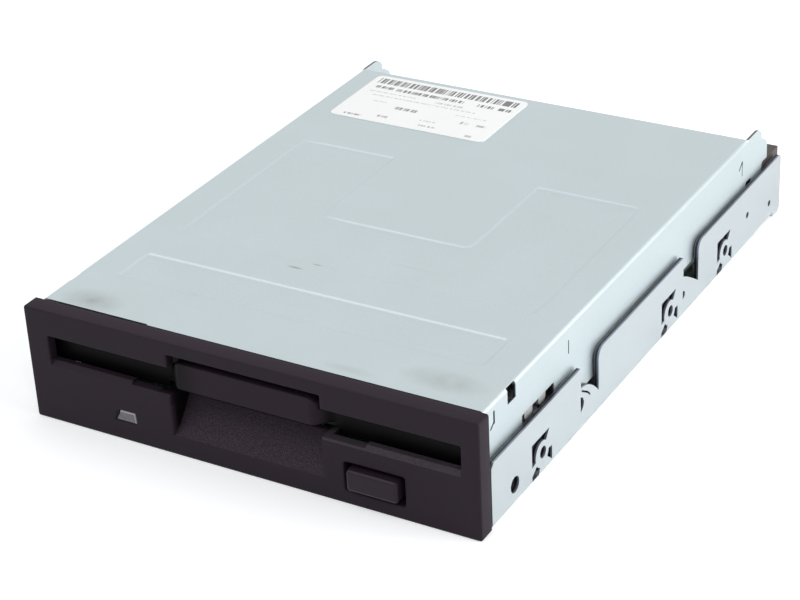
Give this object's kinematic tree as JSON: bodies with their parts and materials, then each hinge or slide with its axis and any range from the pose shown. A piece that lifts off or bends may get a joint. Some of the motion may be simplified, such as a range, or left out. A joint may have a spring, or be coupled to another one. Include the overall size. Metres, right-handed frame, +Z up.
{
  "type": "floppy disk drive",
  "caption": "One-inch-high slot-loading 3.5-inch disk drive with dust door, eject button, loading mechanism, spindle and head carriage.",
  "frame": {"origin": "middle of the bounding box at its lowest level, the bezel's lower edge", "axes": "+X to the right seen from the front, +Y from the bezel to the rear connectors, +Z up"},
  "size_m": [0.1016, 0.1508, 0.0254],
  "materials": {
    "steel_chassis": "zinc-plated sheet steel, satin",
    "steel_cover": "zinc-plated sheet steel, satin with faint scuffs",
    "label_white": "white label with plain grey bars",
    "bezel_plastic": "fine-textured dark moulding",
    "spring_steel": "drawn spring wire",
    "led_lens": "smoky clear lens, unlit",
    "tinned_wire": "tinned leads",
    "board_green": "green solder mask",
    "coil_copper": "enamelled copper winding",
    "screw_steel": "plated screws",
    "bearing_brass": "sintered bronze",
    "motor_can": "drawn steel can",
    "chip_black": "moulded epoxy",
    "crystal_can": "nickel can",
    "capacitor_can": "aluminium can",
    "sensor_black": "black moulding",
    "connector_ivory": "natural nylon",
    "ribbon_film": "flat flexible cable",
    "ribbon_amber": "polyimide film",
    "header_black": "glass-filled moulding",
    "gold_pin": "gold-flashed pins",
    "door_plastic": "fine-textured dark moulding",
    "slider_steel": "plated sheet steel",
    "button_plastic": "fine-textured dark moulding",
    "holder_steel": "plated sheet steel",
    "pin_steel": "turned steel",
    "lever_plastic": "acetal moulding",
    "rotor_steel": "plated pressed steel",
    "ferrite": "bonded ferrite",
    "carriage_plastic": "glass-filled moulding",
    "head_ceramic": "polished ceramic and ferrite",
    "follower_brass": "phosphor bronze",
    "rod_steel": "ground steel",
    "plunger_white": "acetal moulding"
  },
  "bodies": {
    "drive": {"chassis": "steel_chassis", "top_cover": "steel_cover", "spec_label": "label_white", "front_bezel": "bezel_plastic", "dust_door_spring": "spring_steel", "indicator_led": "led_lens", "led_leads": "tinned_wire", "slider_guide_posts": "pin_steel", "datum_posts": "pin_steel", "motor_board": "board_green", "motor_coils": "coil_copper", "motor_screws": "screw_steel", "spindle_bearing": "bearing_brass", "stepper_motor": "motor_can", "stepper_bracket": "steel_chassis", "bracket_screws": "screw_steel", "guide_rod": "rod_steel", "rod_clamps": "steel_chassis", "clamp_screws": "screw_steel", "main_board": "board_green", "board_chips": "chip_black", "crystal": "crystal_can", "board_capacitors": "capacitor_can", "board_screws": "screw_steel", "track_zero_sensor": "sensor_black", "ribbon_connectors": "connector_ivory", "motor_ribbon": "ribbon_film", "head_ribbon": "ribbon_amber", "interface_header": "header_black", "header_pins": "gold_pin", "power_connector": "connector_ivory", "power_pins": "tinned_wire", "switch_bodies": "chip_black"},
    "door": {"dust_door": "door_plastic"},
    "slider": {"eject_slider": "slider_steel", "eject_button": "button_plastic", "slider_springs": "spring_steel"},
    "holder": {"disk_holder": "holder_steel", "holder_pins": "pin_steel", "lever_pivot": "pin_steel", "lever_spring": "spring_steel"},
    "lever": {"shutter_lever": "lever_plastic"},
    "rotor": {"spindle_rotor": "rotor_steel", "rotor_magnet": "ferrite", "spindle_hub": "bearing_brass", "hub_magnet": "ferrite"},
    "drive_pin_body": {"drive_pin": "pin_steel"},
    "carriage": {"head_carriage": "carriage_plastic", "lower_head": "head_ceramic", "arm_pivot_pin": "pin_steel", "arm_spring": "spring_steel", "screw_follower": "follower_brass"},
    "head_arm": {"upper_head_arm": "holder_steel", "upper_head": "head_ceramic"},
    "screw": {"lead_screw": "rod_steel"},
    "write_protect": {"write_protect_plunger": "plunger_white"},
    "disk_in": {"disk_in_plunger": "plunger_white"},
    "density": {"density_plunger": "plunger_white"}
  },
  "joints": [
    {"name": "eject_slide", "type": "slide", "parent": "drive", "child": "slider", "axis": [0, -1, 0], "range_m": [0, 0.0045]},
    {"name": "holder_drop", "type": "slide", "parent": "drive", "child": "holder", "axis": [0, 0, -1], "range_m": [0, 0.00251]},
    {"name": "upper_arm_close", "type": "hinge", "parent": "carriage", "child": "head_arm", "pos_m": [0, 0.04545, 0.0171], "axis": [1, 0, 0], "range_deg": [0, 8.95]},
    {"name": "door_swing", "type": "hinge", "parent": "drive", "child": "door", "pos_m": [0, -0.07055, 0.0213], "axis": [1, 0, 0], "range_deg": [0, 95], "stiffness_Nm_per_rad": 0.0012, "springref_deg": -20.05},
    {"name": "shutter_lever_swing", "type": "hinge", "parent": "holder", "child": "lever", "pos_m": [0.04, -0.00205, 0.02], "axis": [0, 0, -1], "range_deg": [0, 80], "stiffness_Nm_per_rad": 0.0006, "springref_deg": -11.46},
    {"name": "spindle_spin", "type": "hinge", "parent": "drive", "child": "rotor", "pos_m": [0, -0.02405, 0.008], "axis": [0, 0, 1], "continuous": true},
    {"name": "drive_pin_press", "type": "slide", "parent": "rotor", "child": "drive_pin_body", "axis": [0, 0, -1], "range_m": [0, 0.0008], "stiffness_N_per_m": 60},
    {"name": "carriage_travel", "type": "slide", "parent": "drive", "child": "carriage", "axis": [0, -1, 0], "range_m": [0, 0.01481]},
    {"name": "lead_screw_turn", "type": "hinge", "parent": "drive", "child": "screw", "pos_m": [0.017, 0.02595, 0.0096], "axis": [0, 1, 0], "range_deg": [0, 1423]},
    {"name": "write_protect_press", "type": "slide", "parent": "drive", "child": "write_protect", "axis": [0, 0, -1], "range_m": [0, 0.001], "stiffness_N_per_m": 60},
    {"name": "disk_in_press", "type": "slide", "parent": "drive", "child": "disk_in", "axis": [0, 0, -1], "range_m": [0, 0.001], "stiffness_N_per_m": 60},
    {"name": "density_press", "type": "slide", "parent": "drive", "child": "density", "axis": [0, 0, -1], "range_m": [0, 0.001], "stiffness_N_per_m": 60}
  ],
  "couplings": [
    {"joint": "holder_drop", "follows": "eject_slide", "ratio": 0.5556},
    {"joint": "upper_arm_close", "follows": "eject_slide", "rad_per_m": 34.519},
    {"joint": "lead_screw_turn", "follows": "carriage_travel", "rad_per_m": 1675.5}
  ]
}
